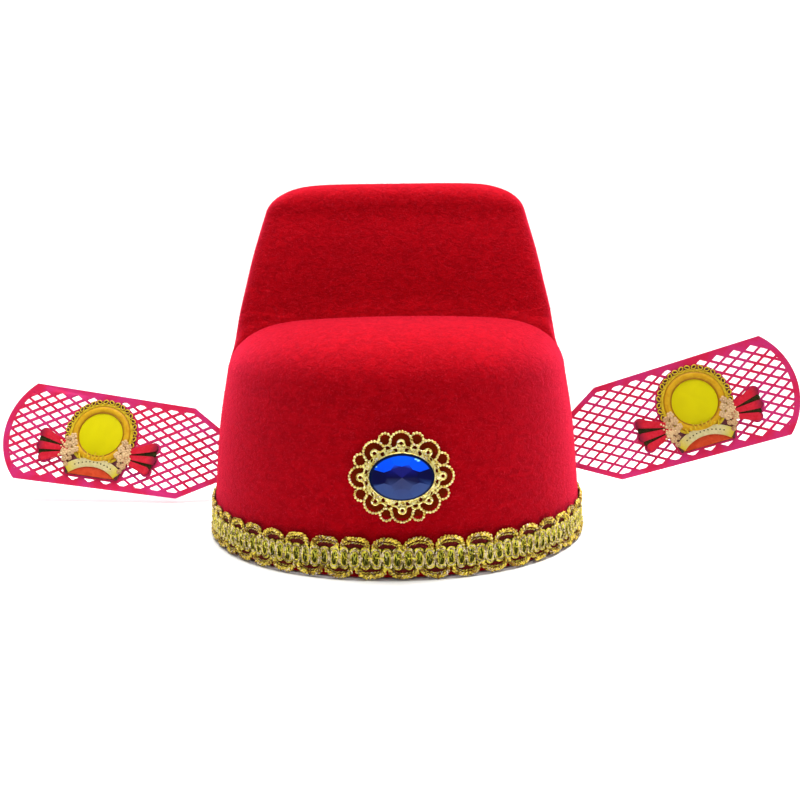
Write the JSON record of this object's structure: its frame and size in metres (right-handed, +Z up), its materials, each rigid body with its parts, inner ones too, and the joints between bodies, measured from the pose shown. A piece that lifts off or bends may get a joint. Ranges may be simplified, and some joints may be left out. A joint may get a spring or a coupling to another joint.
{
  "type": "chinese scholar hat",
  "caption": "Costume scholar's hat: stiff red felt crown with a low front and a tall back, gold braid round the rim, a stone brooch and flat lattice wings at the sides.",
  "frame": {"origin": "middle of the whole hat's footprint, on the surface that the rim rests on", "axes": "+X towards the wearer's left, +Y to the back of the head, +Z up"},
  "size_m": [0.402, 0.2098, 0.1564],
  "materials": {
    "felt": "moulded wool felt, fuzzy and matt",
    "gold_braid": "gold thread gimp over olive core",
    "gilt_metal": "pale bright gilding",
    "blue_stone": "faceted, polished, foil behind",
    "wing_plastic": "moulded crimson plastic, satin",
    "printed_card": "printed and varnished sheet"
  },
  "bodies": {
    "root": {"crown": "felt", "braid_trim": "gold_braid", "brooch_setting": "gilt_metal", "brooch_stone": "blue_stone", "right_wing": "wing_plastic", "left_wing": "wing_plastic", "right_medallion": "printed_card", "left_medallion": "printed_card", "right_wing_pin": "gilt_metal", "left_wing_pin": "gilt_metal"}
  },
  "joints": []
}
